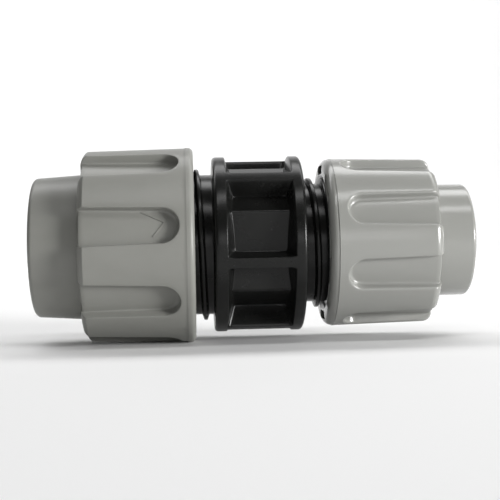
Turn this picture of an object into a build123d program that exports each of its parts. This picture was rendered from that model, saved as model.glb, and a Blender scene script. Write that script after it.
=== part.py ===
from build123d import *
from dataclasses import dataclass
from math import ceil, cos, radians, sin, tan
import os

# Reducing compression coupler for plastic pressure pipe.
# +X runs along the pipe axis, the larger end points to -X, +Z is up, the origin is at mid-length on the axis.
# Axial places are given as the distance outwards from the middle of the body, towards either end.

# Body, shared by both ends
RIM_CROWN_GAP = 3.95       # rim outside, above the larger thread's crest
RIM_SLOPE = 2.05           # how far a rim's inner face leans in towards the hexagon
RIM_EDGE = 0.9
CORE_DEPTH = 3.95          # rim outside down to the hexagon's corners
CORE_TURN = 24.0           # a corner of the hexagon, from the front, upwards
RIB_COUNT = 6
RIB_THICKNESS = 3.4
RIB_TURN = -12.0           # the first rib, from the front, upwards
RIB_STEP = 0.15            # ribs stop short of the rims' outside by this much
FLOW_BORE_R = 10.2
STOP_HALF = 1.75           # half the length of the ring that stops both pipes
MOUTH_EDGE = 0.8

# Fits, shared by both ends
PIPE_GAP = 0.3             # pipe to socket, all round
TOOTH_GAP = 0.2            # pipe to the grip ring's teeth, relaxed
SEAL_GAP = 0.15            # pipe to seal, relaxed
RUNNING_GAP = 0.3          # nut to threads and to grip ring
SEAT_GAP = 0.2             # end faces that push on each other
STOP_GAP = 0.1             # body's mouth to bush flange, nut fully home
TIGHTEN_TRAVEL = 5.5       # nut's travel from as made to fully home
HOME_GAP = 0.7             # nut to rim, nut fully home

# Thread form, shared by both ends
THREAD_HEIGHT = 1.9
THREAD_HALF_BASE = 1.1
THREAD_HALF_CREST = 0.5
THREAD_ROOTING = 0.4       # how far a ridge is sunk into its wall
THREAD_RUNOUT = 2.5        # last ridge to the mouth, or to the step in the nut
NUT_THREAD_LEAD = 2.2      # nut's mouth to its first ridge, at least

# Nut details, shared by both ends
FLUTE_COUNT = 8
FLUTE_OVERRUN = 2.0
CORE_OUT_WALL = 1.3        # thread wall inside each moulded pocket
CORE_OUT_EDGE = 0.7
ENTRY_GAP = 0.6            # pipe to the nut's entry bore
ENTRY_CHAMFER = 1.0
NOSE_INSIDE = 1.0          # end of the grip ring to the nut's entry bore
STEP_BACK = 0.5            # the nut's inner step, behind the grip ring's end

# Grip ring details, shared by both ends
TOOTH_COUNT = 7
TOOTH_DEPTH = 0.9
CONE_TAPER = 8.05          # degrees, grip ring's outside and the nut's seat
SLIT_WIDTH = 3.0
SLIT_TURN = 0.0            # from straight up

# Bush and seal details, shared by both ends
BUSH_GAP = 0.45            # pipe to bush
SEAL_EDGE = 1.0


@dataclass(frozen=True)
class Side:
    """One end of the coupler: what is driven by its pipe size."""
    name: str
    outward: int             # direction along X, away from the body
    rim_inner: float         # where the rim's inner face meets its outside
    rim_thickness: float
    pipe_r: float
    socket_depth: float
    cavity_depth: float
    seal_thickness: float
    seal_length: float
    cavity_gap: float        # seal outside to cavity
    barrel_wall: float
    pitch: float
    thread_lead: float       # rim to the thread's start
    thread_turn: float       # the thread's start, from straight up, right-handed outwards
    flange_overlap: float    # bush flange outside, short of the thread's root
    flange_thickness: float
    grip_length: float
    crown_wall: float        # thread bore to crown, at the mouth
    crown_draft: float       # how much smaller the crown is at its shoulder
    mouth_round: float
    shoulder_back: float     # grip ring's inner end to the shoulder's face
    shoulder_round: float
    nose_wall: float         # nut's wall at the grip ring's outer end
    nose_draft: float
    nose_edge: float
    entry_length: float
    flute_turn: float        # a flute's middle, from the front, upwards
    flute_depth: float
    flute_lead: float        # mouth to the flute's rounded end
    flute_half_in: float     # degrees
    flute_half_out: float    # degrees
    core_out_depth: float
    core_out_height: float

    @property
    def rim_outer(self):
        return self.rim_inner + self.rim_thickness

    @property
    def socket_r(self):
        return self.pipe_r + PIPE_GAP

    @property
    def socket_end(self):
        return STOP_HALF + self.socket_depth

    @property
    def seal_in_r(self):
        return self.pipe_r + SEAL_GAP

    @property
    def seal_out_r(self):
        return self.seal_in_r + self.seal_thickness

    @property
    def cavity_r(self):
        return self.seal_out_r + self.cavity_gap

    @property
    def mouth(self):
        return self.socket_end + self.cavity_depth

    @property
    def root_r(self):
        return self.cavity_r + self.barrel_wall

    @property
    def crest_r(self):
        return self.root_r + THREAD_HEIGHT

    @property
    def seal_start(self):
        return self.socket_end + TIGHTEN_TRAVEL + 2 * SEAT_GAP

    @property
    def seal_end(self):
        return self.seal_start + self.seal_length

    @property
    def flange_face(self):
        return self.mouth + TIGHTEN_TRAVEL + STOP_GAP

    @property
    def flange_r(self):
        return self.root_r - self.flange_overlap

    @property
    def grip_start(self):
        return self.flange_face + self.flange_thickness + SEAT_GAP

    @property
    def grip_end(self):
        return self.grip_start + self.grip_length

    @property
    def grip_r(self):
        return self.flange_r - STOP_GAP

    @property
    def grip_end_r(self):
        return self.grip_r - self.grip_length * tan(radians(CONE_TAPER))

    @property
    def thread_start(self):
        return self.rim_outer + self.thread_lead

    @property
    def nut_mouth(self):
        return self.rim_outer + TIGHTEN_TRAVEL + HOME_GAP

    @property
    def nut_bore_r(self):
        return self.crest_r + RUNNING_GAP

    @property
    def nut_step(self):
        return self.grip_start - STEP_BACK

    @property
    def seat_r(self):
        return self.grip_r + RUNNING_GAP / cos(radians(CONE_TAPER)) + STEP_BACK * tan(radians(CONE_TAPER))

    @property
    def nose_in(self):
        return self.grip_end + NOSE_INSIDE

    @property
    def nose_end(self):
        return self.nose_in + self.entry_length

    @property
    def nose_end_r(self):
        return self.grip_end_r + self.nose_wall

    @property
    def shoulder(self):
        return self.grip_start + self.shoulder_back

    @property
    def crown_r(self):
        return self.nut_bore_r + self.crown_wall

    @property
    def flute_floor_r(self):
        return self.crown_r - self.flute_depth

    @property
    def axial_plane(self):
        """Sketch plane with the distance outwards as its x, and height above the axis as its y."""
        return Plane(origin=(BODY_X, 0, 0), x_dir=(self.outward, 0, 0), z_dir=(0, -self.outward, 0))

    def cross_plane(self, distance):
        """Plane across the axis, its normal outwards and its x straight up."""
        return Plane(
            origin=(BODY_X + self.outward * distance, 0, 0), x_dir=(0, 0, 1), z_dir=(self.outward, 0, 0)
        )


LARGE = Side(
    name="large", outward=-1, rim_inner=10.25, rim_thickness=4.15,
    pipe_r=16.0, socket_depth=26.85, cavity_depth=13.4,
    seal_thickness=4.05, seal_length=4.5, cavity_gap=0.3, barrel_wall=2.9,
    pitch=5.0, thread_lead=1.51, thread_turn=90.0,
    flange_overlap=0.8, flange_thickness=1.7, grip_length=20.5,
    crown_wall=6.9, crown_draft=0.8, mouth_round=1.7,
    shoulder_back=7.7, shoulder_round=4.0, nose_wall=3.45, nose_draft=1.05, nose_edge=1.6,
    entry_length=2.35, flute_turn=11.5, flute_depth=3.4, flute_lead=4.8,
    flute_half_in=10.2, flute_half_out=11.4, core_out_depth=4.4, core_out_height=3.1,
)
SMALL = Side(
    name="small", outward=1, rim_inner=11.1, rim_thickness=3.6,
    pipe_r=12.5, socket_depth=26.25, cavity_depth=12.0,
    seal_thickness=4.35, seal_length=3.8, cavity_gap=0.3, barrel_wall=2.6,
    pitch=4.25, thread_lead=1.0, thread_turn=180.0,
    flange_overlap=0.8, flange_thickness=1.5, grip_length=17.9,
    crown_wall=5.9, crown_draft=0.8, mouth_round=4.4,
    shoulder_back=11.2, shoulder_round=3.5, nose_wall=2.3, nose_draft=0.1, nose_edge=1.2,
    entry_length=4.7, flute_turn=22.5, flute_depth=3.0, flute_lead=7.3,
    flute_half_in=10.35, flute_half_out=11.6, core_out_depth=6.0, core_out_height=2.9,
)
SIDES = (LARGE, SMALL)

# The body's middle stands off mid-length, because the two ends differ in length.
BODY_X = (LARGE.nose_end - SMALL.nose_end) / 2
RIM_R = max(side.crest_r for side in SIDES) + RIM_CROWN_GAP
CORE_R = RIM_R - CORE_DEPTH

CENTRE_LINE = Axis((0, 0, 0), (1, 0, 0))
BODY_CROSS = Plane(origin=(BODY_X, 0, 0), x_dir=(0, -1, 0), z_dir=(-1, 0, 0))


def turned(side, corners, mode=Mode.ADD):
    """Revolve a closed outline of (distance outwards, radius, rounding) corners about the pipe axis."""
    points = [(distance, radius) for distance, radius, rounding in corners]
    roundings = [rounding for distance, radius, rounding in corners]
    with BuildSketch(side.axial_plane) as outline:
        with BuildLine():
            if any(roundings):
                FilletPolyline(*points, radius=roundings, close=True)
            else:
                Polyline(*points, close=True)
        make_face()
    revolve(outline.sketch, axis=CENTRE_LINE, mode=mode)


def ridge(side, wall_r, crest_r, half_wall, half_crest, start, length):
    """Right-handed helical ridge standing from a wall towards a crest radius, inwards or outwards."""
    sunk = THREAD_ROOTING if wall_r > crest_r else -THREAD_ROOTING
    half_sunk = half_wall + (half_wall - half_crest) * THREAD_ROOTING / abs(wall_r - crest_r)
    with BuildPart() as thread:
        with BuildLine() as path:
            Helix(pitch=side.pitch, height=length, radius=wall_r)
        with BuildSketch(Plane(origin=(0, 0, 0), x_dir=(1, 0, 0), z_dir=(0, -1, 0))) as section:
            with BuildLine():
                Polyline(
                    (wall_r + sunk, -half_sunk), (crest_r, -half_crest),
                    (crest_r, half_crest), (wall_r + sunk, half_sunk),
                    close=True,
                )
            make_face()
        sweep(section.sketch, path=path.line, is_frenet=True)
    return side.cross_plane(start).location * Rot(0, 0, side.thread_turn) * thread.part


def outer_ridge(side):
    """Thread on the body's barrel, from near the rim to near the mouth."""
    length = side.mouth - THREAD_RUNOUT - side.thread_start
    return ridge(
        side, side.root_r, side.crest_r, THREAD_HALF_BASE, THREAD_HALF_CREST, side.thread_start, length
    )


def inner_ridge(side):
    """Thread inside the nut: it fills the barrel's groove, less the running gap."""
    half_groove = side.pitch / 2 - RUNNING_GAP
    turns_in = ceil((side.nut_mouth + NUT_THREAD_LEAD - side.thread_start) / side.pitch - 0.5)
    start = side.thread_start + (turns_in + 0.5) * side.pitch
    length = side.nut_step - THREAD_RUNOUT - start
    return ridge(
        side, side.nut_bore_r, side.root_r + RUNNING_GAP, half_groove - THREAD_HALF_CREST,
        half_groove - THREAD_HALF_BASE, start, length,
    )


def make_body():
    """Body: a hexagonal core between two ribbed rims, and a threaded socket at each end."""
    rim_foot_r = CORE_R * cos(radians(30))
    rib_middle = (RIM_R - RIB_STEP) / 2
    reach = max(side.rim_inner for side in SIDES)
    with BuildPart() as body:
        with BuildSketch(BODY_CROSS) as core:
            RegularPolygon(CORE_R, 6, rotation=CORE_TURN)
        extrude(core.sketch, amount=reach, both=True)
        with BuildSketch(BODY_CROSS) as ribs:
            with PolarLocations(rib_middle, RIB_COUNT, start_angle=RIB_TURN):
                Rectangle(2 * rib_middle, RIB_THICKNESS)
        extrude(ribs.sketch, amount=reach, both=True)
        for side in SIDES:
            turned(side, [
                (side.rim_inner - RIM_SLOPE, 0, 0), (side.rim_inner - RIM_SLOPE, rim_foot_r, 0),
                (side.rim_inner, RIM_R, RIM_EDGE), (side.rim_outer, RIM_R, RIM_EDGE),
                (side.rim_outer, side.root_r, 0),
                (side.mouth, side.root_r, MOUTH_EDGE), (side.mouth, 0, 0),
            ])
            turned(side, [
                (-1, 0, 0), (-1, FLOW_BORE_R, 0), (STOP_HALF, FLOW_BORE_R, 0), (STOP_HALF, side.socket_r, 0),
                (side.socket_end, side.socket_r, 0), (side.socket_end, side.cavity_r, 0),
                (side.mouth + 1, side.cavity_r, 0), (side.mouth + 1, 0, 0),
            ], Mode.SUBTRACT)
        for side in SIDES:
            add(outer_ridge(side))
    return body


def flute_cutter(side):
    """The space of one flute: round at its inner end, open at the shoulder, with a scooped floor."""
    turn = radians(side.flute_turn)
    facing = Plane(
        origin=(BODY_X, 0, 0), x_dir=(side.outward, 0, 0), z_dir=(0, -cos(turn), sin(turn))
    )
    start = side.nut_mouth + side.flute_lead
    half_in = side.flute_floor_r * sin(radians(side.flute_half_in))
    half_out = side.flute_floor_r * sin(radians(side.flute_half_out))
    end = side.shoulder + FLUTE_OVERRUN
    top = side.crown_r + FLUTE_OVERRUN
    with BuildPart() as cutter:
        turned(side, [
            (start - FLUTE_OVERRUN, side.flute_floor_r, 0), (end, side.flute_floor_r, 0),
            (end, top, 0), (start - FLUTE_OVERRUN, top, 0),
        ])
        with BuildSketch(facing.offset(side.flute_floor_r)) as outline:
            with Locations((start + half_in, 0)):
                Circle(half_in)
            with Locations((end, 0)):
                Rectangle(FLUTE_OVERRUN, 2 * half_out)
            make_hull()
        extrude(
            outline.sketch, amount=top - side.flute_floor_r, taper=-side.flute_half_in, mode=Mode.INTERSECT
        )
    return cutter


def make_nut(side):
    """Clamping nut: threaded and fluted crown, conical seat for the grip ring, plain nose."""
    entry_r = side.pipe_r + ENTRY_GAP
    seat_end_r = side.seat_r - (side.nose_in - side.nut_step) * tan(radians(CONE_TAPER))
    flute = flute_cutter(side)
    with BuildPart() as nut:
        turned(side, [
            (side.nut_mouth, side.nut_bore_r, 0), (side.nut_mouth, side.crown_r, side.mouth_round),
            (side.shoulder, side.crown_r - side.crown_draft, side.shoulder_round),
            (side.shoulder, side.nose_end_r + side.nose_draft, 0),
            (side.nose_end, side.nose_end_r, side.nose_edge),
            (side.nose_end, entry_r + ENTRY_CHAMFER, 0), (side.nose_end - ENTRY_CHAMFER, entry_r, 0),
            (side.nose_in, entry_r, 0), (side.nose_in, seat_end_r, 0),
            (side.nut_step, side.seat_r, 0), (side.nut_step, side.nut_bore_r, 0),
        ])
        for index in range(FLUTE_COUNT):
            add(flute.part.rotate(CENTRE_LINE, index * 360 / FLUTE_COUNT), mode=Mode.SUBTRACT)
        core_out_r = side.nut_bore_r + CORE_OUT_WALL
        spoke = 2 * core_out_r * sin(radians(side.flute_half_in))
        first_spoke = side.outward * (90 - side.flute_turn)
        with BuildSketch(side.cross_plane(side.nut_mouth)) as core_outs:
            Circle(core_out_r + side.core_out_height)
            Circle(core_out_r, mode=Mode.SUBTRACT)
            with PolarLocations(core_out_r, FLUTE_COUNT, start_angle=first_spoke):
                Rectangle(3 * side.core_out_height, spoke, mode=Mode.SUBTRACT)
            fillet(core_outs.vertices(), CORE_OUT_EDGE)
        extrude(core_outs.sketch, amount=side.core_out_depth, mode=Mode.SUBTRACT)
        add(inner_ridge(side))
    return nut


def make_grip_ring(side):
    """Split grip ring: a cone outside, saw teeth inside that lean towards the body."""
    tip_r = side.pipe_r + TOOTH_GAP
    root_r = tip_r + TOOTH_DEPTH
    step = side.grip_length / TOOTH_COUNT
    corners = [(side.grip_start, side.grip_r, 0), (side.grip_end, side.grip_end_r, 0)]
    for index in range(TOOTH_COUNT):
        corners.append((side.grip_end - index * step, root_r, 0))
        corners.append((side.grip_end - (index + 1) * step, tip_r, 0))
    with BuildPart() as grip_ring:
        turned(side, corners)
        with BuildSketch(side.cross_plane(side.grip_start)) as slit:
            with Locations(Rot(0, 0, SLIT_TURN) * Pos(side.grip_r, 0)):
                Rectangle(side.grip_r, SLIT_WIDTH)
        extrude(slit.sketch, amount=side.grip_length, mode=Mode.SUBTRACT)
    return grip_ring


def make_bush(side):
    """Thrust bush: its sleeve pushes the seal, its flange takes the push of the grip ring."""
    inner_r = side.pipe_r + BUSH_GAP
    sleeve_r = side.cavity_r - SEAT_GAP
    flange_end = side.flange_face + side.flange_thickness
    with BuildPart() as bush:
        turned(side, [
            (side.seal_end + SEAT_GAP, inner_r, 0), (side.seal_end + SEAT_GAP, sleeve_r, 0),
            (side.flange_face, sleeve_r, 0), (side.flange_face, side.flange_r, 0),
            (flange_end, side.flange_r, 0), (flange_end, inner_r, 0),
        ])
    return bush


def make_seal(side):
    """Rubber seal: a solid ring with rounded corners, squeezed on to the pipe by the bush."""
    with BuildPart() as seal:
        turned(side, [
            (side.seal_start, side.seal_in_r, SEAL_EDGE), (side.seal_start, side.seal_out_r, SEAL_EDGE),
            (side.seal_end, side.seal_out_r, SEAL_EDGE), (side.seal_end, side.seal_in_r, SEAL_EDGE),
        ])
    return seal


PIECES = (
    ("nut", make_nut),
    ("grip_ring", make_grip_ring),
    ("thrust_bush", make_bush),
    ("seal", make_seal),
)

os.makedirs("parts", exist_ok=True)

body = make_body()
body.part.label = "body"
export_step(body.part, "parts/body.step")

for side in SIDES:
    for piece_name, make_piece in PIECES:
        piece = make_piece(side)
        piece.part.label = f"{side.name}_{piece_name}"
        export_step(piece.part, f"parts/{side.name}_{piece_name}.step")
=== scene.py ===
"""Reducing compression coupler: its visible mouldings, their finishes, the light and the camera.

All shapes are modelled in millimetres about the pipe axis, with x as the distance outwards from the
middle of the body, and are then turned to their end of the coupler and scaled to metres.
"""

import logging
import math
from dataclasses import dataclass
from enum import Enum
from typing import Optional, Sequence

import bmesh
import bpy
from mathutils import Matrix, Vector

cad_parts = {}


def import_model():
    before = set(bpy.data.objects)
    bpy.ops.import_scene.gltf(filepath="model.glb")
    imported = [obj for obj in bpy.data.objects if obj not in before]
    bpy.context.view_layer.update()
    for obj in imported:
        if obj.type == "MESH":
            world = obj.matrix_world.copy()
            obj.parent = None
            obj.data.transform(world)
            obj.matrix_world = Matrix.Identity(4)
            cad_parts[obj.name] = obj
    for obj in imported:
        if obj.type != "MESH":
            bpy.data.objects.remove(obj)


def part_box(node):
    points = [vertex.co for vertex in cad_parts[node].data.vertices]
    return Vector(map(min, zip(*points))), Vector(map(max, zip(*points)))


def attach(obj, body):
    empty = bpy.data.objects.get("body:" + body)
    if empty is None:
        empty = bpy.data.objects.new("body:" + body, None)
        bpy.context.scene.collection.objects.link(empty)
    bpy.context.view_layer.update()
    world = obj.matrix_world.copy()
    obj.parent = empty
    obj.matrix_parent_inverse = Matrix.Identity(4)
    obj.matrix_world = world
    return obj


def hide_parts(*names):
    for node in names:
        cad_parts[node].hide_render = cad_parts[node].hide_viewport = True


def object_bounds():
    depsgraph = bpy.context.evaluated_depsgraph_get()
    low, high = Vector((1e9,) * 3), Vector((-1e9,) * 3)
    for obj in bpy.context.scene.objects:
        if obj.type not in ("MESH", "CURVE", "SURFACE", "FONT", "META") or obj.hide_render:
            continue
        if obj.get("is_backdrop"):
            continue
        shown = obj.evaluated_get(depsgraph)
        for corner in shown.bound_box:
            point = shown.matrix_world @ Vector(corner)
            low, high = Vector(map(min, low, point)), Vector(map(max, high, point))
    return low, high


logging.basicConfig(level=logging.INFO, format="%(message)s")
LOG = logging.getLogger("coupler")

MM = 0.001
RING_STEPS = 160
WELD = 0.002
THREAD_STEPS = 96   # points in a turn of a thread
THREAD_TIP = 0.35   # share of its width that a thread keeps where it fades out
FACE_LEVELS = ((0.35, 1), (0.7, 1), (0.88, 1), (0.94, 0.8), (1, 0))   # share of the way in, of the step
CHEVRON_SECTION = ((-0.3, -0.3), (-0.12, 0.32), (0.12, 0.32), (0.3, -0.3), (-0.3, -0.3))


class End(Enum):
    """The two ends of the coupler, by the direction in which they point."""

    LARGE = -1
    SMALL = 1

    @property
    def word(self) -> str:
        """The end's name as the frame's nodes and bodies spell it."""
        return self.name.lower()


class Fold(Enum):
    """How two heights meet: the lower one wins, or the higher one."""

    LOWER = -1
    HIGHER = 1


def blended(first: float, second: float, width: float, fold: Fold) -> float:
    """Take the lower or higher of two heights, with a rounded change-over.

    Args:
        first: one height.
        second: the other height.
        width: difference of height over which the change-over is rounded.
        fold: which of the two wins.

    Returns:
        The blended height.
    """
    overlap = max(width - abs(first - second), 0.0) / width
    rounding = overlap * overlap * width / 4
    if fold is Fold.HIGHER:
        return max(first, second) + rounding
    return min(first, second) - rounding


def spread(start: float, stop: float, steps: int) -> list[float]:
    """Evenly spaced values from start to stop, both included."""
    return [start + (stop - start) * index / steps for index in range(steps + 1)]


@dataclass(frozen=True)
class Corner:
    """One corner of a profile: distance outwards, radius, and how far it is rounded."""

    x: float
    radius: float
    rounding: float = 0.0


def rounded_profile(corners: Sequence[Corner], steps: int = 5) -> list[tuple[float, float]]:
    """Turn the corners of an open profile into points, with arcs at the rounded corners.

    Args:
        corners: the profile's corners, in order.
        steps: number of straight steps in each arc.

    Returns:
        (distance outwards, radius) points.
    """
    points = []
    last = len(corners) - 1
    for index, corner in enumerate(corners):
        here = Vector((corner.x, corner.radius))
        if corner.rounding <= 0 or index in (0, last):
            points.append((here.x, here.y))
            continue
        back = (Vector((corners[index - 1].x, corners[index - 1].radius)) - here).normalized()
        ahead = (Vector((corners[index + 1].x, corners[index + 1].radius)) - here).normalized()
        half = back.angle(ahead) / 2
        centre = here + (back + ahead).normalized() * (corner.rounding / math.sin(half))
        first = here + back * (corner.rounding / math.tan(half)) - centre
        turn = math.pi - 2 * half
        if back.x * ahead.y - back.y * ahead.x > 0:
            turn = -turn
        for step in range(steps + 1):
            spoke = first.copy()
            spoke.rotate(Matrix.Rotation(turn * step / steps, 2))
            points.append((centre.x + spoke.x, centre.y + spoke.y))
    return points


class Workpiece:
    """A mesh that is being modelled, in millimetres, about the pipe axis."""

    def __init__(self, name: str) -> None:
        """Add a primitive, keep one vertex of it, and leave the piece in edit mode."""
        self.leave_edit_mode()
        bpy.ops.object.select_all(action="DESELECT")
        bpy.ops.mesh.primitive_plane_add(size=1, enter_editmode=True)
        bpy.ops.mesh.select_mode(type="VERT")
        self.piece = bpy.context.object
        self.piece.name = name
        self.piece.data.name = name
        bpy.ops.mesh.select_all(action="SELECT")
        bpy.ops.mesh.merge(type="CENTER")

    @staticmethod
    def leave_edit_mode() -> None:
        """Go back to object mode, if any piece is being edited."""
        if bpy.context.object and bpy.context.object.mode != "OBJECT":
            bpy.ops.object.mode_set(mode="OBJECT")

    def draw(self, points: Sequence[tuple[float, float]]) -> None:
        """Draw an open profile in the plane y = 0 by extruding the piece's one vertex.

        Args:
            points: (distance outwards, radius) points.
        """
        place = (points[0][0], 0, points[0][1])
        bpy.ops.transform.translate(value=place)
        for before, after in zip(points, points[1:]):
            step = (after[0] - before[0], 0, after[1] - before[1])
            bpy.ops.mesh.extrude_region_move(TRANSFORM_OT_translate={"value": step})

    def close(self) -> None:
        """Join the profile's two ends by an edge."""
        mesh = bmesh.from_edit_mesh(self.piece.data)
        for vertex in mesh.verts:
            vertex.select_set(len(vertex.link_edges) == 1)
        mesh.select_flush_mode()
        bmesh.update_edit_mesh(self.piece.data)
        bpy.ops.mesh.edge_face_add()

    def spin(self, steps: int = RING_STEPS) -> None:
        """Spin the drawn profile once round the pipe axis and close the seam."""
        bpy.ops.mesh.select_all(action="SELECT")
        bpy.ops.mesh.spin(steps=steps, angle=2 * math.pi, center=(0, 0, 0), axis=(1, 0, 0))
        self.weld()

    def weld(self) -> None:
        """Merge doubled vertices and turn every face outwards."""
        bpy.ops.mesh.select_all(action="SELECT")
        bpy.ops.mesh.remove_doubles(threshold=WELD)
        bpy.ops.mesh.normals_make_consistent(inside=False)

    def patch(self, rows: Sequence[Sequence[Vector]]) -> None:
        """Add a grid of faces through rows of points.

        Args:
            rows: rows with the same number of points each.
        """
        mesh = bmesh.from_edit_mesh(self.piece.data)
        made = [[mesh.verts.new(point) for point in row] for row in rows]
        for lower, upper in zip(made, made[1:]):
            for index in range(len(lower) - 1):
                mesh.faces.new((lower[index], lower[index + 1], upper[index + 1], upper[index]))
        bmesh.update_edit_mesh(self.piece.data)

    def cap(self) -> None:
        """Close every open ring of edges by a face and turn every face outwards."""
        self.drop_loose()
        self.weld()
        mesh = bmesh.from_edit_mesh(self.piece.data)
        bmesh.ops.holes_fill(mesh, edges=[edge for edge in mesh.edges if edge.is_boundary])
        bmesh.update_edit_mesh(self.piece.data)
        self.weld()

    def drop_loose(self) -> None:
        """Delete vertices that no face uses."""
        bpy.ops.mesh.select_all(action="SELECT")
        bpy.ops.mesh.delete_loose()

    def select_rim(self, x: float, reach: float = 0.01) -> None:
        """Select the open edges at one distance outwards."""
        mesh = bmesh.from_edit_mesh(self.piece.data)
        for face in mesh.faces:
            face.select_set(False)
        for edge in mesh.edges:
            edge.select_set(edge.is_boundary and all(abs(v.co.x - x) < reach for v in edge.verts))
        mesh.select_flush_mode()
        bmesh.update_edit_mesh(self.piece.data)

    def loft(self, points: Sequence[tuple[float, float]]) -> None:
        """Carry an open ring of edges along a profile.

        Args:
            points: (distance outwards, radius) points; the first is where the ring is now.
        """
        bpy.ops.mesh.select_mode(type="EDGE")
        self.select_rim(points[0][0])
        for before, after in zip(points, points[1:]):
            step = (after[0] - before[0], 0, 0)
            bpy.ops.mesh.extrude_region_move(TRANSFORM_OT_translate={"value": step})
            scale = after[1] / before[1]
            bpy.ops.transform.resize(value=(1, scale, scale), center_override=(0, 0, 0))

    def bridge_rims(self) -> None:
        """Join the two rings of open edges that are left."""
        mesh = bmesh.from_edit_mesh(self.piece.data)
        for face in mesh.faces:
            face.select_set(False)
        for edge in mesh.edges:
            edge.select_set(edge.is_boundary)
        mesh.select_flush_mode()
        bmesh.update_edit_mesh(self.piece.data)
        bpy.ops.mesh.bridge_edge_loops()

    def combine(self, other: "Workpiece", operation: str) -> None:
        """Add another closed piece to this one, or cut it away, by a Boolean modifier.

        Args:
            other: the other piece, which is used up.
            operation: UNION or DIFFERENCE.
        """
        self.leave_edit_mode()
        modifier = self.piece.modifiers.new("combine", "BOOLEAN")
        modifier.operation = operation
        modifier.object = other.piece
        modifier.solver = "EXACT"
        self.apply(modifier.name)
        bpy.data.objects.remove(other.piece)

    def apply(self, modifier: str) -> None:
        """Apply one modifier, by name."""
        self.leave_edit_mode()
        bpy.ops.object.select_all(action="DESELECT")
        bpy.context.view_layer.objects.active = self.piece
        self.piece.select_set(True)
        bpy.ops.object.modifier_apply(modifier=modifier)

    def finish(self, end: Optional[End], middle: float, sharp: float = 32.0) -> bpy.types.Object:
        """Turn the piece to its end of the coupler, scale it to metres and smooth its shading.

        Args:
            end: the end that it belongs to, or None for a piece already in the row frame.
            middle: the body's middle, in metres along X.
            sharp: faces that meet at more than this many degrees keep a crisp edge.

        Returns:
            The finished object, at the origin.
        """
        self.leave_edit_mode()
        turn = Matrix.Rotation(math.pi, 4, "Z") if end is End.LARGE else Matrix.Identity(4)
        place = Matrix.Translation((middle, 0, 0)) @ turn @ Matrix.Diagonal((MM, MM, MM, 1))
        self.piece.data.transform(place)
        bpy.ops.object.select_all(action="DESELECT")
        bpy.context.view_layer.objects.active = self.piece
        self.piece.select_set(True)
        bpy.ops.object.shade_smooth_by_angle(angle=math.radians(sharp))
        return self.piece


def helix_ridge(
    name: str, section: Sequence[tuple[float, float]], pitch: float, start: Vector, turns: float, fade: float
) -> Workpiece:
    """Right-handed helical ridge whose height fades in and out at its two ends.

    Args:
        name: the new piece's name.
        section: (along the axis, radius) corners of the ridge, the first and last in its wall.
        pitch: advance for each turn.
        start: x, and the angle about the axis in degrees as y, where the ridge starts.
        turns: number of turns.
        fade: length of the fade at each end, in degrees.

    Returns:
        The ridge, as a closed mesh.
    """
    ridge = Workpiece(name)
    count = int(turns * THREAD_STEPS)
    wall = section[0][1]
    rows = []
    for index in range(count + 1):
        turned = index * 360 / THREAD_STEPS
        left = (count - index) * 360 / THREAD_STEPS
        height = min(1.0, turned / fade, left / fade)
        height = height * height * (3 - 2 * height)
        angle = math.radians(start.y + turned)
        row = []
        for along, radius in section:
            reach = wall + (radius - wall) * height
            x = start.x + pitch * turned / 360 + along * (THREAD_TIP + (1 - THREAD_TIP) * height)
            row.append(Vector((x, reach * math.cos(angle), reach * math.sin(angle))))
        rows.append(row + [row[0]])
    ridge.patch(rows)
    ridge.cap()
    return ridge


@dataclass(frozen=True)
class Bulge:
    """Rounded mouth of a nut, set off from its crown by a fine groove."""

    edge: float
    groove: float
    face_r: float
    groove_end: float = 0.22
    groove_slope: float = 0.1
    steps: int = 10

    def corners(self, mouth: float, crown_r: float) -> list[Corner]:
        """Corners from the crown, through the groove and round to the mouth's face.

        Args:
            mouth: distance outwards of the mouth.
            crown_r: the crown's radius.

        Returns:
            The corners, from the crown inwards.
        """
        floor_r = crown_r - self.groove
        groove = [
            Corner(self.edge + self.groove_end, crown_r, 0.12),
            Corner(self.edge + self.groove_slope, floor_r, 0.04),
            Corner(self.edge, floor_r, 0.05),
        ]
        return groove + [
            Corner(mouth + (self.edge - mouth) * (1 - math.sin(angle)),
                   self.face_r + (floor_r - self.face_r) * math.cos(angle))
            for angle in spread(0, math.pi / 2, self.steps)[1:]
        ]


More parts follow.
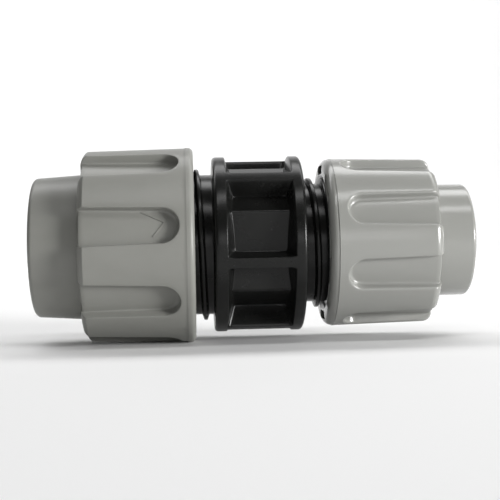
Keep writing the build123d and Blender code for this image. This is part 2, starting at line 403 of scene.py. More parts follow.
@dataclass
class Nut:
    """A clamping nut: fluted crown with a lip, rounded shoulder, plain nose, threaded bore."""

    end: End
    mouth: float
    shoulder: float
    nose_end: float
    mouth_r: float
    crown_r: float
    crown_end_r: float
    lip_end: float
    shoulder_round: float
    nose_foot_r: float
    nose_end_r: float
    nose_edge: float
    foot_round: float
    bore_r: float
    entry_r: float
    seat_r: float
    seat_end: float
    seat_end_r: float
    step: float
    flute_turn: float
    flute_start: float
    flute_floor_r: float
    flute_half_in: float
    flute_half_out: float
    flute_edge: float
    flute_fillet: float
    flute_scoop: float
    pitch: float
    thread_start: float
    thread_turn: float
    ridge_r: float
    ridge_half_wall: float
    ridge_half_crest: float
    pocket_depth: float
    pocket_height: float
    crease: float = 0.0
    lip: float = 0.0
    mouth_round: float = 0.0
    bulge: Optional[Bulge] = None
    chevron: tuple = ()
    face_step: float = 0.6
    floor_round: float = 1.8
    pocket_wall: float = 1.3
    pocket_corner: float = 0.7
    pocket_clear: float = 1.0
    pocket_bevel: float = 0.5
    flutes: int = 8
    crown_steps: int = 5
    shoulder_steps: int = 18
    edge_steps: int = 4
    floor_steps: int = 5
    side_steps: int = 10
    arc_steps: int = 28

    def crown(self, x: float) -> float:
        """Radius of the crown at a distance outwards, short of its rounded shoulder."""
        along = (x - self.mouth) / (self.shoulder - self.mouth)
        return self.crown_r + (self.crown_end_r - self.crown_r) * along

    def half_width(self, share: float) -> float:
        """Half of a flute's width, measured round the crown, at a share of its length."""
        angle = self.flute_half_in + (self.flute_half_out - self.flute_half_in) * share
        return self.crown_r * math.radians(angle)

    def half_sector(self) -> float:
        """Half of the crown that belongs to one flute, measured round the crown."""
        return self.crown_r * math.pi / self.flutes

    def levels(self) -> list[tuple[Vector, Vector]]:
        """Crest and floor along a flute's straight sides, round the shoulder and down its face.

        Returns:
            Pairs of (distance outwards, radius) points, from the flute's round end outwards.
        """
        reach = self.flute_start + self.half_width(0)
        first = math.radians(self.crease)
        bend = self.shoulder - self.shoulder_round * (1 - math.sin(first))
        centre = Vector((self.shoulder - self.shoulder_round, 0))
        centre.y = self.crown(bend) - self.shoulder_round * math.cos(first)
        rise = self.flute_floor_r - centre.y
        run = self.shoulder_round - self.face_step
        floor_end = centre.x + rise * math.tan(first)
        pairs = [
            (Vector((x, self.crown(x))), Vector((floor_x, self.flute_floor_r)))
            for x, floor_x in zip(
                spread(reach, bend, self.side_steps), spread(reach, floor_end, self.side_steps)
            )
        ]
        for angle in spread(first, math.pi / 2, self.shoulder_steps)[1:]:
            ray = Vector((math.sin(angle), math.cos(angle)))
            depth = blended(rise / max(ray.y, 0.01), run / ray.x, self.floor_round, Fold.LOWER)
            pairs.append((centre + ray * self.shoulder_round, centre + ray * depth))
        foot = self.nose_foot_r + self.foot_round
        for share, step in FACE_LEVELS:
            radius = centre.y + (foot - centre.y) * share
            face = self.shoulder - self.face_step * step
            pairs.append((Vector((self.shoulder, radius)), Vector((face, radius))))
        return pairs

    def section(self, place: Vector, away: Vector, pair: Optional[tuple]) -> list[tuple]:
        """Points across a flute's edge, from the middle of the crown to the middle of the floor.

        Args:
            place: distance outwards and distance round the crown of a point on the flute's outline.
            away: the direction away from the flute there.
            pair: crest and floor there, or None on the flute's round end.

        Returns:
            (distance outwards, distance round the crown, radius) for each point.
        """
        centre = self.flute_start + self.half_width(0)
        depth = (pair[0] - pair[1]).length if pair else self.crown(place.x) - self.flute_floor_r
        edge = self.flute_edge
        fillet = self.flute_fillet + (self.flute_scoop - self.flute_fillet) * away.x * away.x
        shrink = min(1.0, 0.95 * depth / (edge + fillet))
        edge *= shrink
        fillet *= shrink

        def sunk(point: Vector, down: float) -> tuple[float, float, float]:
            """Let a point of the section down from the crown towards the flute's floor.

            Args:
                point: distance outwards and distance round the crown.
                down: how far below the crown.

            Returns:
                (distance outwards, distance round the crown, radius).
            """
            if pair:
                share = down / depth if depth > WELD else 0.0
                level = pair[0].lerp(pair[1], share)
                return level.x, point.y, level.y
            crown = self.crown(point.x)
            whole = crown - self.flute_floor_r
            below = down + whole - depth if down > depth / 2 else down
            return point.x, point.y, crown - min(below, whole)

        if pair:
            border = Vector((place.x, math.copysign(self.half_sector(), place.y)))
            middle = Vector((place.x, 0))
        else:
            limits = [(centre - self.lip_end) / -away.x]
            if away.y:
                limits.append(self.half_sector() / abs(away.y))
            border = Vector((centre, 0)) + away * min(limits)
            middle = Vector((centre, 0))
        top = place + away * edge
        foot = place - away * fillet
        points = [sunk(top.lerp(border, share), 0.0) for share in spread(1, 0, self.crown_steps)]
        for angle in spread(0, math.pi / 2, self.edge_steps)[1:]:
            bevel = place + away * (edge * (1 - math.sin(angle)))
            points.append(sunk(bevel, edge * (1 - math.cos(angle))))
        for angle in spread(0, math.pi / 2, self.edge_steps + 2):
            hollow = place - away * (fillet * (1 - math.cos(angle)))
            points.append(sunk(hollow, depth - fillet * (1 - math.sin(angle))))
        points += [sunk(foot.lerp(middle, share), depth) for share in spread(0, 1, self.floor_steps)[1:]]
        return points

    def sector(self) -> list[list[tuple[float, float, float]]]:
        """Sections all the way round a flute's outline, from the shoulder round its end and back."""
        pairs = self.levels()
        radius = self.half_width(0)
        centre = pairs[0][0].x
        last = self.shoulder
        rows = []
        for pair in reversed(pairs[1:]):
            share = (pair[0].x - centre) / (last - centre)
            place = Vector((pair[0].x, self.half_width(share)))
            rows.append(self.section(place, Vector((0.0, 1.0)), pair))
        corner = math.atan2(self.half_sector(), centre - self.lip_end)
        quarter = self.arc_steps // 4
        bends = spread(math.pi / 2, corner, quarter)[1:] + spread(corner, 0, quarter)[1:]
        first = Vector((centre, radius))
        rows.append(self.section(first, Vector((0.0, 1.0)), pairs[0]))
        for bend in bends:
            away = Vector((-math.cos(bend), math.sin(bend) if bend else 0.0))
            rows.append(self.section(Vector((centre, 0)) + away * radius, away, None))
        mirrored = [[(x, -across, reach) for x, across, reach in row] for row in reversed(rows[:-1])]
        return rows + mirrored

    def rolled(self, flat: tuple[float, float, float], turn: float) -> Vector:
        """Roll a point of the flat sector up on to the nut."""
        x, across, radius = flat
        angle = math.radians(turn) + across / self.crown_r
        return Vector((x, radius * math.cos(angle), radius * math.sin(angle)))

    def first_turn(self) -> float:
        """Angle of the first flute about the axis, in degrees."""
        return self.flute_turn if self.end is End.LARGE else 180 - self.flute_turn

    def core_outs(self) -> Workpiece:
        """Model the space of the moulded pockets in the mouth, one behind each crest."""
        cutter = Workpiece("core_outs")
        inner = self.bore_r + self.pocket_wall
        half = math.radians(180 / self.flutes - self.flute_half_in)
        corner = self.pocket_corner
        outline = []
        for index, (side, radius) in enumerate(((1, 1), (-1, 1), (-1, 0), (1, 0))):
            for step in spread(0, math.pi / 2, 5):
                bend = step + index * math.pi / 2
                across = side * (half * inner - corner) + corner * math.cos(bend)
                outline.append((across / inner, inner + corner + radius * (self.pocket_height - 2 * corner)
                                + corner * math.sin(bend)))
        outline.append(outline[0])
        middle = inner + self.pocket_height / 2
        end = self.mouth + self.pocket_depth
        levels = ((self.mouth - self.pocket_clear, 0, 0), (end - self.pocket_bevel, 0, 0), (end, 0.12, 0.04))
        for index in range(self.flutes):
            turn = math.radians(self.first_turn() + (index + 0.5) * 360 / self.flutes)
            rows = []
            for x, thinner, narrower in levels:
                row = []
                for across, radius in outline:
                    reach = radius + (middle - radius) * thinner
                    angle = turn + across * (1 - narrower)
                    row.append(Vector((x, reach * math.cos(angle), reach * math.sin(angle))))
                rows.append(row)
            cutter.patch(rows)
        cutter.cap()
        return cutter

    def thread(self) -> Workpiece:
        """Model the right-handed thread in the bore, half a pitch out of step with the barrel's."""
        wall, crest = self.bore_r, self.ridge_r
        half_wall, half_crest = self.ridge_half_wall, self.ridge_half_crest
        section = [
            (-half_wall - 0.1, wall + 0.4), (-half_wall, wall - 0.05),
            (-half_crest - 0.1, crest + 0.12), (-half_crest + 0.1, crest), (half_crest - 0.1, crest),
            (half_crest + 0.1, crest + 0.12), (half_wall, wall - 0.05), (half_wall + 0.1, wall + 0.4),
        ]
        turns = (self.step - 2.5 - self.thread_start) / self.pitch
        start = Vector((self.thread_start, self.thread_turn))
        return helix_ridge(f"{self.end.word}_nut_thread", section, self.pitch, start, turns, 35)

    def arrow(self) -> Workpiece:
        """Model the faint raised chevron on one flute's floor."""
        mark = Workpiece("chevron")
        corners = [Vector(corner) for corner in self.chevron]
        arms = [(after - before).normalized() for before, after in zip(corners, corners[1:])]
        sides = [Vector((-arm.y, arm.x)) for arm in arms]
        mitre = (sides[0] + sides[1]).normalized()
        mitre /= mitre.dot(sides[0])
        rows = []
        for corner, side in zip(corners, (sides[0], mitre, sides[1])):
            row = []
            for out, height in CHEVRON_SECTION:
                place = corner + side * out
                row.append(self.rolled((place.x, place.y, self.flute_floor_r + height), self.first_turn()))
            rows.append(row)
        mark.patch(rows)
        mark.cap()
        return mark

    def build(self, middle: float) -> bpy.types.Object:
        """Model the nut.

        Args:
            middle: the body's middle, in metres along X.

        Returns:
            The finished nut.
        """
        nut = Workpiece(f"{self.end.word}_nut_moulding")
        rows = self.sector()
        for index in range(self.flutes):
            turn = self.first_turn() + index * 360 / self.flutes
            nut.patch([[self.rolled(point, turn) for point in row] for row in rows])
        nut.drop_loose()
        nut.weld()
        foot = Corner(self.shoulder, self.nose_foot_r + self.foot_round)
        outside = rounded_profile([
            foot, Corner(self.shoulder, self.nose_foot_r, self.foot_round * 0.95),
            Corner(self.nose_end, self.nose_end_r, self.nose_edge),
            Corner(self.nose_end, self.entry_r, 0.9),
            Corner(self.seat_end, self.entry_r, 0.3),
            Corner(self.seat_end, self.seat_end_r),
            Corner(self.step, self.seat_r, 0.3),
            Corner(self.step, self.bore_r, 0.4),
            Corner(self.mouth + 2.5, self.bore_r),
        ], 7)
        nut.loft(outside)
        rim = Corner(self.lip_end, self.crown(self.lip_end))
        if self.bulge:
            lip = self.bulge.corners(self.mouth, self.crown_r)
        else:
            lip = [
                Corner(rim.x - 0.5, rim.radius + self.lip, 0.25),
                Corner(self.mouth, self.crown_r + self.lip, self.mouth_round),
            ]
        nut.loft(rounded_profile([
            rim, *lip,
            Corner(self.mouth, self.mouth_r, 0.3),
            Corner(self.mouth + 1, self.bore_r, 0.2),
            Corner(self.mouth + 2, self.bore_r),
        ], 8))
        nut.bridge_rims()
        nut.weld()
        nut.combine(self.core_outs(), "DIFFERENCE")
        nut.combine(self.thread(), "UNION")
        if self.chevron:
            nut.combine(self.arrow(), "UNION")
        return nut.finish(self.end, middle)


@dataclass
class BodyMoulding:
    """The black body: hexagonal core, six ribs, two rims, two threaded barrels with their sockets."""

    rim_r: float = 29.25
    rim_edge: float = 0.9
    outer_edge: float = 1.15
    wall_slope: float = 3.6
    rib_slope: float = 8.0
    rib_half: float = 1.7
    rib_turn: float = -12.0
    pocket_corner: float = 7.0
    core_r: float = 25.3
    core_turn: float = 24.0
    core_edge: float = 0.5
    fillet: float = 1.6
    flow_r: float = 10.2
    stop_half: float = 1.75
    ribs: int = 6
    inner_large: float = 10.25
    inner_small: float = 11.1

    def height(self, x: float, angle: float) -> float:
        """Radius of the body's middle at a distance from its centre and an angle from the front.

        Args:
            x: distance from the middle, along the pipe axis.
            angle: degrees from the front, upwards.

        Returns:
            The radius there.
        """
        step = 360 / self.ribs
        to_corner = (angle - self.core_turn + step / 2) % step - step / 2
        apothem = self.core_r * math.cos(math.radians(step / 2))
        flats = [apothem / math.cos(math.radians(step / 2 - side * to_corner)) for side in (-1, 1)]
        floor = blended(flats[0], flats[1], self.core_edge, Fold.LOWER)
        to_rib = (angle - self.rib_turn + step / 2) % step - step / 2
        aside = self.rim_r * math.sin(math.radians(abs(to_rib)))
        rib = self.rim_r + (self.rib_half - aside) * self.rib_slope
        inner = self.inner_small if x > 0 else self.inner_large
        rim = self.rim_r + (abs(x) - inner) * self.wall_slope
        wall = blended(rib, rim, self.pocket_corner, Fold.HIGHER)
        raised = blended(floor, wall, self.fillet, Fold.HIGHER)
        return blended(raised, self.rim_r, self.rim_edge, Fold.LOWER)

    def lines_along(self) -> list[float]:
        """Distances outwards of the grid's lines, close together where the pockets end."""
        lines = []
        for inner in (-self.inner_large, self.inner_small):
            side = math.copysign(1, inner)
            reach = abs(inner)
            half = spread(0, reach - 4, 6)[:-1] + spread(reach - 4, reach + 0.9, 30)[:-1]
            lines += [side * x for x in half + spread(reach + 0.9, reach + 1.6, 2)]
        return sorted(set(lines))

    def lines_round(self) -> list[float]:
        """Angles of the grid's lines from the front, close together at the ribs and core corners."""
        step = 360 / self.ribs
        corner = (self.core_turn - self.rib_turn) % step
        pieces = (
            spread(0, 2.6, 3)[:-1] + spread(2.6, 6.6, 16)[:-1] + spread(6.6, corner - 2, 12)[:-1]
            + spread(corner - 2, corner + 2, 6)[:-1] + spread(corner + 2, step - 6.6, 10)[:-1]
            + spread(step - 6.6, step - 2.6, 16)[:-1] + spread(step - 2.6, step, 3)[:-1]
        )
        turned = [self.rib_turn + index * step + angle for index in range(self.ribs) for angle in pieces]
        return turned + [turned[0] + 360]

    def build(self, barrels: Sequence["Barrel"], middle: float) -> bpy.types.Object:
        """Model the body.

        Args:
            barrels: the two threaded ends.
            middle: the body's middle, in metres along X.

        Returns:
            The finished body.
        """
        body = Workpiece("body_moulding")
        rows = []
        for x in self.lines_along():
            row = []
            for angle in self.lines_round():
                radius = self.height(x, angle)
                spoke = math.radians(angle)
                row.append(Vector((x, -radius * math.cos(spoke), radius * math.sin(spoke))))
            rows.append(row)
        body.patch(rows)
        body.drop_loose()
        body.weld()
        for barrel in barrels:
            outward = barrel.end.value
            reach = max(outward * x for x in self.lines_along())
            profile = rounded_profile([
                Corner(reach, self.rim_r), Corner(barrel.rim_outer, self.rim_r, self.outer_edge),
                Corner(barrel.rim_outer, barrel.root_r, 0.6), Corner(barrel.mouth, barrel.root_r, 0.9),
                Corner(barrel.mouth, barrel.cavity_r, 0.5), Corner(barrel.socket_end, barrel.cavity_r, 0.4),
                Corner(barrel.socket_end, barrel.socket_r, 0.3), Corner(self.stop_half, barrel.socket_r, 0.4),
                Corner(self.stop_half, self.flow_r, 0.3), Corner(self.stop_half / 2, self.flow_r),
            ])
            body.loft([(outward * x, radius) for x, radius in profile])
        body.bridge_rims()
        body.weld()
        for barrel in barrels:
            body.combine(barrel.thread(), "UNION")
        return body.finish(None, middle)


@dataclass
class Barrel:
    """One threaded end of the body, with the socket inside it."""

    end: End
    root_r: float
    crest_r: float
    mouth: float
    cavity_r: float
    socket_end: float
    socket_r: float
    pitch: float
    thread_start: float
    thread_turn: float
    rim_outer: float
    half_base: float = 1.15
    half_crest: float = 0.45
    sunk: float = 0.5
    runout: float = 2.5

    def thread(self) -> Workpiece:
        """Model the barrel's right-handed thread, with its ends fading into the barrel."""
        section = [
            (-self.half_base - 0.1, self.root_r - self.sunk),
            (-self.half_base, self.root_r + 0.05),
            (-self.half_crest - 0.1, self.crest_r - 0.12),
            (-self.half_crest + 0.1, self.crest_r),
            (self.half_crest - 0.1, self.crest_r),
            (self.half_crest + 0.1, self.crest_r - 0.12),
            (self.half_base, self.root_r + 0.05),
            (self.half_base + 0.1, self.root_r - self.sunk),
        ]
        turns = (self.mouth - self.runout - self.thread_start) / self.pitch
        start = Vector((self.thread_start, self.thread_turn))
        ridge = helix_ridge(f"{self.end.word}_thread", section, self.pitch, start, turns, 35)
        ridge.leave_edit_mode()
        if self.end is End.LARGE:
            ridge.piece.data.transform(Matrix.Rotation(math.pi, 4, "Z"))
        return ridge


@dataclass
class ClampingSet:
    """What a nut pushes on to the pipe: a split grip ring, a thrust bush and a rubber seal."""

    end: End
    grip_start: float
    grip_end: float
    grip_r: float
    grip_end_r: float
    tooth_r: float
    bush_start: float
    flange_start: float
    flange_end: float
    bush_in_r: float
    sleeve_r: float
    flange_r: float
    seal_start: float
    seal_end: float
    seal_in_r: float
    seal_out_r: float
    tooth_depth: float = 0.9
    teeth: int = 7
    slit: float = 3.0

    def grip_ring(self, middle: float) -> bpy.types.Object:
        """Model the split grip ring, with saw teeth inside and rounded ends."""
        ring = Workpiece(f"{self.end.word}_grip_ring_moulding")
        step = (self.grip_end - self.grip_start) / self.teeth
        root_r = self.tooth_r + self.tooth_depth
        corners = [Corner(self.grip_start, (self.grip_r + root_r) / 2)]
        corners.append(Corner(self.grip_start, self.grip_r, 0.5))
        corners.append(Corner(self.grip_end, self.grip_end_r, 0.5))
        for index in range(self.teeth):
            corners.append(Corner(self.grip_end - index * step, root_r, 0.2))
            corners.append(Corner(self.grip_end - (index + 1) * step + 0.05, self.tooth_r, 0.06))
        ring.draw(rounded_profile(corners, 3))
        ring.close()
        ring.spin()
        cutter = Workpiece("slit")
        reach = self.grip_r + 1
        cutter.patch([
            [Vector((x, y, 0)) for x in (self.grip_start - 1, self.grip_end + 1)]
            for y in (-self.slit / 2, self.slit / 2)
        ])
        cutter.drop_loose()
        bpy.ops.mesh.select_all(action="SELECT")
        bpy.ops.mesh.extrude_region_move(TRANSFORM_OT_translate={"value": (0, 0, reach)})
        cutter.weld()
        ring.combine(cutter, "DIFFERENCE")
        return ring.finish(self.end, middle)

    def bush(self, middle: float) -> bpy.types.Object:
        """Model the top-hat thrust bush."""
        bush = Workpiece(f"{self.end.word}_thrust_bush_moulding")
        bush.draw(rounded_profile([
            Corner(self.bush_start, (self.bush_in_r + self.sleeve_r) / 2),
            Corner(self.bush_start, self.sleeve_r, 0.5), Corner(self.flange_start, self.sleeve_r, 0.3),
            Corner(self.flange_start, self.flange_r, 0.4), Corner(self.flange_end, self.flange_r, 0.4),
            Corner(self.flange_end, self.bush_in_r, 0.5), Corner(self.bush_start, self.bush_in_r, 0.5),
        ], 4))
        bush.close()
        bush.spin()
        return bush.finish(self.end, middle)

    def seal(self, middle: float) -> bpy.types.Object:
        """Model the rubber seal, with a shallow groove round each face."""
        seal = Workpiece(f"{self.end.word}_seal_ring")
        half = (self.seal_in_r + self.seal_out_r) / 2
        groove = 0.45
        seal.draw(rounded_profile([
            Corner(self.seal_start + groove, half), Corner(self.seal_start, half + 0.9, 0.4),
            Corner(self.seal_start, self.seal_out_r, 0.8), Corner(self.seal_end, self.seal_out_r, 0.8),
            Corner(self.seal_end, half + 0.9, 0.4), Corner(self.seal_end - groove, half, 0.3),
            Corner(self.seal_end, half - 0.9, 0.4), Corner(self.seal_end, self.seal_in_r, 0.8),
            Corner(self.seal_start, self.seal_in_r, 0.8), Corner(self.seal_start, half - 0.9, 0.4),
        ], 4))
        seal.close()
        seal.spin()
        return seal.finish(self.end, middle)


class Value:
    """A shader socket that Python's operators can work on."""

    def __init__(self, tree: bpy.types.NodeTree, socket: bpy.types.NodeSocket) -> None:
        """Keep the socket and its tree."""
        self.tree = tree
        self.socket = socket

    def maths(self, operation: str, *others: object) -> "Value":
        """Add a Math node that works on this socket and up to two others."""
        node = self.tree.nodes.new("ShaderNodeMath")
        node.operation = operation
        for slot, value in enumerate((self, *others)):
            if isinstance(value, Value):
                self.tree.links.new(value.socket, node.inputs[slot])
            else:
                node.inputs[slot].default_value = value
        return Value(self.tree, node.outputs[0])

    def __add__(self, other: object) -> "Value":
        """Sum."""
        return self.maths("ADD", other)

    __radd__ = __add__

    def __sub__(self, other: object) -> "Value":
        """Difference."""
        return self.maths("SUBTRACT", other)

    def __rsub__(self, other: float) -> "Value":
        """Difference from a number."""
        return self.maths("MULTIPLY", -1.0) + other

    def __mul__(self, other: object) -> "Value":
        """Product."""
        return self.maths("MULTIPLY", other)

    __rmul__ = __mul__

    def __pow__(self, other: float) -> "Value":
        """Power."""
        return self.maths("POWER", other)

    def between(self, low: float, high: float) -> "Value":
        """0 below low, 1 above high and an even ramp between them."""
        node = self.tree.nodes.new("ShaderNodeMapRange")
        self.tree.links.new(self.socket, node.inputs["Value"])
        node.inputs["From Min"].default_value = low
        node.inputs["From Max"].default_value = high
        return Value(self.tree, node.outputs["Result"])


class Shader:
    """One material's node tree."""

    def __init__(self, name: str) -> None:
        """Start a material with a Principled shader and nothing else."""
        self.material = bpy.data.materials.new(name)
        self.material.use_nodes = True
        self.tree = self.material.node_tree
        self.tree.nodes.clear()
        output = self.tree.nodes.new("ShaderNodeOutputMaterial")
        self.surface = self.tree.nodes.new("ShaderNodeBsdfPrincipled")
        self.tree.links.new(self.surface.outputs["BSDF"], output.inputs["Surface"])
        self.place = self.node("ShaderNodeTexCoord", {}, {}, "Object")

    def node(self, kind: str, settings: dict, inputs: dict, output: str) -> Value:
        """Add one node.

        Args:
            kind: the node's type.
            settings: its properties.
            inputs: values or links of its sockets, by name.
            output: the name of the socket to give back.

        Returns:
            The chosen output.
        """
        node = self.tree.nodes.new(kind)
        for key, value in settings.items():
            setattr(node, key, value)
        for key, value in inputs.items():
            if isinstance(value, Value):
                self.tree.links.new(value.socket, node.inputs[key])
            else:
                node.inputs[key].default_value = value
        return Value(self.tree, node.outputs[output])

    def noise(self, size: float, detail: float = 2.0, stretch: Optional[tuple] = None) -> Value:
        """Noise with features of a given size, in metres.

        Args:
            size: size of the largest features.
            detail: octaves of smaller features.
            stretch: scale along each axis, where the features are drawn out.

        Returns:
            The noise, from 0 to 1.
        """
        place = self.place
        if stretch:
            place = self.node("ShaderNodeMapping", {}, {"Vector": place, "Scale": stretch}, "Vector")
        inputs = {"Vector": place, "Scale": 1 / size, "Detail": detail, "Roughness": 0.55}
        return self.node("ShaderNodeTexNoise", {}, inputs, "Fac")

    def mixed(self, factor: Value, first: object, second: object) -> Value:
        """Mix two colours."""
        node = self.tree.nodes.new("ShaderNodeMix")
        node.data_type = "RGBA"
        self.tree.links.new(factor.socket, node.inputs[0])
        for slot, value in ((6, first), (7, second)):
            if isinstance(value, Value):
                self.tree.links.new(value.socket, node.inputs[slot])
            else:
                node.inputs[slot].default_value = (*value, 1.0)
        return Value(self.tree, node.outputs[2])

    def set(self, name: str, value: object) -> None:
        """Set or link one socket of the Principled shader."""
        if isinstance(value, Value):
            self.tree.links.new(value.socket, self.surface.inputs[name])
        else:
            self.surface.inputs[name].default_value = value

    def bump(self, height: Value, depth: float, strength: float = 1.0) -> None:
        """Raise the surface by a height.

        Args:
            height: the height, from 0 to 1.
            depth: metres between 0 and 1.
            strength: share of the effect.
        """
        inputs = {"Height": height, "Distance": depth, "Strength": strength}
        self.set("Normal", self.node("ShaderNodeBump", {}, inputs, "Normal"))


@dataclass(frozen=True)
class MouldedPlastic:
    """Injection-moulded plastic: fine die texture, faint flow marks, scuffed and dusty patches."""

    name: str
    colour: tuple
    pale: tuple
    roughness: float
    roughness_spread: float
    grain: float
    grain_depth: float
    flow: float
    scatter: float = 0.0
    coat: float = 0.0
    specular: float = 0.5

    def material(self) -> bpy.types.Material:
        """Build the material."""
        shader = Shader(self.name)
        cloud = shader.noise(0.018, 3.0)
        streak = shader.noise(0.006, 4.0, (0.35, 1.0, 1.0))
        speck = shader.noise(0.0009, 3.0).between(0.62, 0.8)
        scuff = (shader.noise(0.0022, 5.0) * shader.noise(0.015, 2.0)).between(0.26, 0.62)
        tint = (cloud * 0.6 + streak * 0.4).between(0.3, 0.72)
        base = shader.mixed(tint * self.flow, self.colour, self.pale)
        marked = shader.mixed(scuff * (0.35 * self.flow), base, self.pale)
        shader.set("Base Color", shader.mixed(speck * (0.25 * self.flow), marked, self.pale))
        rough = streak * self.roughness_spread + scuff * (self.roughness_spread * 0.7)
        shader.set("Roughness", rough + (self.roughness - self.roughness_spread * 0.5))
        shader.set("Specular IOR Level", self.specular)
        shader.set("IOR", 1.49)
        if self.scatter:
            shader.set("Subsurface Weight", self.scatter)
            shader.set("Subsurface Scale", 0.002)
            shader.set("Subsurface Radius", (1.0, 1.0, 0.9))
        if self.coat:
            shader.set("Coat Weight", self.coat)
            shader.set("Coat Roughness", 0.12)
        grain = shader.noise(self.grain, 3.0)
        wave = shader.noise(0.009, 1.0)
        shader.bump(grain * 0.5 + wave * 4.0, self.grain_depth)
        return shader.material


@dataclass(frozen=True)
class Rubber:
    """Black moulded rubber with a dull bloom."""

    name: str
    colour: tuple
    bloom: tuple

    def material(self) -> bpy.types.Material:
        """Build the material."""
        shader = Shader(self.name)
        bloom = shader.noise(0.004, 4.0).between(0.45, 0.75)
        shader.set("Base Color", shader.mixed(bloom, self.colour, self.bloom))
        shader.set("Roughness", bloom * 0.2 + 0.5)
        shader.bump(shader.noise(0.0003, 2.0), 0.00001)
        return shader.material


LARGE_NUT_GREY = MouldedPlastic(
    "large_nut_grey", (0.2, 0.201, 0.184), (0.232, 0.233, 0.215), 0.38, 0.08, 0.00022, 0.000005, 0.7,
    specular=0.4,
)
SMALL_NUT_GREY = MouldedPlastic(
    "small_nut_grey", (0.25, 0.252, 0.236), (0.275, 0.276, 0.26), 0.24, 0.05, 0.0003, 0.000002, 0.3,
    scatter=0.1, coat=0.25,
)
BODY_BLACK = MouldedPlastic(
    "body_black", (0.005, 0.0053, 0.005), (0.013, 0.013, 0.0121), 0.25, 0.08, 0.00025, 0.000004, 0.6,
    specular=0.26,
)
GRIP_RING_ACETAL = MouldedPlastic(
    "grip_ring_acetal", (0.72, 0.71, 0.66), (0.8, 0.79, 0.75), 0.3, 0.1, 0.0003, 0.000004, 0.6, scatter=0.2,
)
BUSH_BLACK = MouldedPlastic(
    "bush_black", (0.02, 0.02, 0.02), (0.045, 0.045, 0.042), 0.4, 0.1, 0.0003, 0.000006, 0.7,
)
SEAL_RUBBER = Rubber("seal_rubber", (0.011, 0.011, 0.011), (0.03, 0.03, 0.029))


@dataclass
class Studio:
    """Pale floor with a curved back, soft lights and the camera."""

    floor: float
    foot: tuple
    lens: float = 78.05
    yaw: float = 3.27
    pitch: float = -0.33
    roll: float = 1.173

    def sweep(self) -> None:
        """Model the floor and back as one curved sheet."""
        sheet = Workpiece("studio_floor")
        start, bend_r = 2.0, 0.8
        profile = [(-3.0, 0.0), (start, 0.0)]
        profile += [
            (start + bend_r * math.sin(angle), bend_r - bend_r * math.cos(angle))
            for angle in spread(0, math.pi / 2, 16)[1:]
        ]
        profile.append((start + bend_r, 4.0))
        sheet.patch([[Vector((x, y, self.floor + z)) for x in (-4.0, 4.0)] for y, z in profile])
        sheet.drop_loose()
        sheet.leave_edit_mode()
        shader = Shader("studio_white")
        shader.set("Base Color", (0.86, 0.86, 0.86, 1.0))
        shader.set("Roughness", 0.9)
        shader.set("Specular IOR Level", 0.1)
        sheet.piece.data.materials.append(shader.material)
        sheet.piece.data.shade_smooth()
        sheet.piece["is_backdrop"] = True

    def light(self, name: str, place: tuple, size: tuple, watts: float, target: tuple = (0, 0, 0)) -> None:
        """Add one soft rectangular light that faces the coupler.

        Args:
            name: the light's name.
            place: where it stands, in metres.
            size: its two sides, in metres.
            watts: its power.
            target: what it faces.
        """
        data = bpy.data.lights.new(name, "AREA")
        data.shape = "RECTANGLE"
        data.size, data.size_y = size
        data.energy = watts
        lamp = bpy.data.objects.new(name, data)
        lamp.location = place
        lamp.rotation_euler = (Vector(target) - Vector(place)).to_track_quat("-Z", "Y").to_euler()
        bpy.context.scene.collection.objects.link(lamp)

    def camera(self) -> None:
        """Place the camera level with the pipe axis, a little beyond the larger nut's inner end."""
        data = bpy.data.cameras.new("camera")
        data.lens = self.lens
        data.sensor_width = 36
        data.clip_start = 0.01
        data.clip_end = 20
        camera = bpy.data.objects.new("camera", data)
        yaw, pitch = math.radians(self.yaw), math.radians(self.pitch)
        look = Vector((math.sin(yaw) * math.cos(pitch), math.cos(yaw) * math.cos(pitch), math.sin(pitch)))
        turn = look.to_track_quat("-Z", "Y").to_matrix() @ Matrix.Rotation(math.radians(-self.roll), 3, "Z")
        camera.location = self.foot
        camera.rotation_euler = turn.to_euler()
        bpy.context.scene.collection.objects.link(camera)
        bpy.context.scene.camera = camera

    def build(self) -> None:
        """Set up the whole studio."""
        self.sweep()
        self.light("key", (1.0, -0.68, 0.16), (0.4, 0.3), 19)
        self.light("strip", (0.1, -0.42, 0.82), (0.9, 0.17), 2.6)
        self.light("front", (0.1, -1.3, 0.16), (0.6, 0.3), 1.2)
        self.light("back", (0.0, 0.9, 1.6), (3.0, 1.5), 62, (0.0, 1.9, 0.3))
        world = bpy.data.worlds.new("studio")
        world.use_nodes = True
        world.node_tree.nodes["Background"].inputs["Color"].default_value = (1.0, 1.0, 1.0, 1.0)
        world.node_tree.nodes["Background"].inputs["Strength"].default_value = 0.02
        bpy.context.scene.world = world
        bpy.context.scene.view_settings.view_transform = "Standard"
        self.camera()


def dress(piece: bpy.types.Object, finish: object, body: str, node: str) -> None:
    """Give a piece its finish and its body, and hide the frame's node that it stands for.

    Args:
        piece: the piece.
        finish: the finish, with a material method.
        body: name of the body that it moves with.
        node: the node that it stands for.
    """
    piece.data.materials.clear()
    piece.data.materials.append(finish.material())
    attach(piece, body)
    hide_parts(node)
    LOG.info("%s: %d faces, rides on %s", piece.name, len(piece.data.polygons), body)


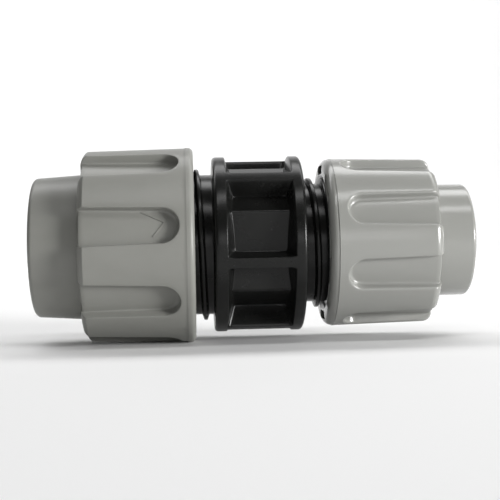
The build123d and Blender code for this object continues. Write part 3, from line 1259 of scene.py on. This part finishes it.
def nut_sizes() -> list[Nut]:
    """Sizes of the two nuts."""
    large = Nut(
        end=End.LARGE, mouth=20.6, shoulder=57.2, nose_end=73.35, mouth_r=26.4, crown_r=32.45,
        crown_end_r=31.7, lip=0.15, lip_end=23.6, mouth_round=1.7, shoulder_round=4.2, nose_foot_r=24.1,
        nose_end_r=23.05, nose_edge=1.6, foot_round=0.5, bore_r=25.6, entry_r=16.6, seat_r=22.87,
        seat_end=71.0, seat_end_r=19.76, step=49.0, flute_turn=11.5, flute_start=25.4, flute_floor_r=29.05,
        flute_half_in=10.2, flute_half_out=11.4, flute_edge=0.35, flute_fillet=0.7, flute_scoop=1.5,
        pitch=5.0, thread_start=23.41, thread_turn=180.0, ridge_r=23.7, ridge_half_wall=1.7,
        ridge_half_crest=1.1, pocket_depth=4.4, pocket_height=3.1,
        crease=33.0, chevron=((37.0, 5.2), (30.0, 1.6), (33.5, -3.4)),
    )
    small = Nut(
        end=End.SMALL, mouth=22.2, shoulder=58.5, nose_end=70.9, mouth_r=22.9, crown_r=28.2,
        crown_end_r=27.4, lip_end=26.3, shoulder_round=3.0, nose_foot_r=18.87,
        nose_end_r=18.75, nose_edge=1.2, foot_round=0.5, bore_r=22.1, entry_r=13.1, seat_r=19.37,
        seat_end=66.2, seat_end_r=16.64, step=46.8, flute_turn=22.5, flute_start=28.2, flute_floor_r=25.0,
        flute_half_in=10.35, flute_half_out=11.6, flute_edge=0.7, flute_fillet=0.9, flute_scoop=1.2,
        pitch=4.25, thread_start=26.33, thread_turn=270.0, ridge_r=20.2, ridge_half_wall=1.32,
        ridge_half_crest=0.72, pocket_depth=6.0, pocket_height=2.9, bulge=Bulge(24.7, 0.22, 25.2),
    )
    return [large, small]


def barrel_sizes() -> list[Barrel]:
    """Sizes of the two threaded ends."""
    large = Barrel(
        end=End.LARGE, root_r=23.4, crest_r=25.3, mouth=42.0, cavity_r=20.5, socket_end=28.6, socket_r=16.3,
        pitch=5.0, thread_start=15.91, thread_turn=180.0, rim_outer=14.4,
    )
    small = Barrel(
        end=End.SMALL, root_r=19.9, crest_r=21.8, mouth=40.0, cavity_r=17.3, socket_end=28.0, socket_r=12.8,
        pitch=4.25, thread_start=15.7, thread_turn=270.0, rim_outer=14.7,
    )
    return [large, small]


def clamping_sets() -> list[ClampingSet]:
    """Sizes of the two clamping sets."""
    large = ClampingSet(
        end=End.LARGE, grip_start=49.5, grip_end=70.0, grip_r=22.5, grip_end_r=19.6, tooth_r=16.2,
        bush_start=39.2, flange_start=47.6, flange_end=49.3, bush_in_r=16.45, sleeve_r=20.3, flange_r=22.6,
        seal_start=34.5, seal_end=39.0, seal_in_r=16.15, seal_out_r=20.2,
    )
    small = ClampingSet(
        end=End.SMALL, grip_start=47.3, grip_end=65.2, grip_r=19.0, grip_end_r=16.47, tooth_r=12.7,
        bush_start=37.9, flange_start=45.6, flange_end=47.1, bush_in_r=12.95, sleeve_r=17.1, flange_r=19.1,
        seal_start=33.9, seal_end=37.7, seal_in_r=12.65, seal_out_r=17.0,
    )
    return [large, small]


def main() -> None:
    """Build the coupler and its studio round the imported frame."""
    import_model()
    cad_box = [list(corner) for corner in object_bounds()]
    middle = (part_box("body")[0].x + 0.042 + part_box("body")[1].x - 0.040) / 2
    dress(BodyMoulding().build(barrel_sizes(), middle), BODY_BLACK, "body", "body")
    for nut, grey in zip(nut_sizes(), (LARGE_NUT_GREY, SMALL_NUT_GREY)):
        word = nut.end.word
        dress(nut.build(middle), grey, f"{word}_nut", f"{word}_nut")
    for clamp in clamping_sets():
        word = clamp.end.word
        rides = f"{word}_clamp"
        dress(clamp.grip_ring(middle), GRIP_RING_ACETAL, rides, f"{word}_grip_ring")
        dress(clamp.bush(middle), BUSH_BLACK, rides, f"{word}_thrust_bush")
        dress(clamp.seal(middle), SEAL_RUBBER, rides, f"{word}_seal")
    Studio(cad_box[0][2], (middle - 0.0228, -0.3656, 0.0)).build()


if __name__ == "__main__":
    main()
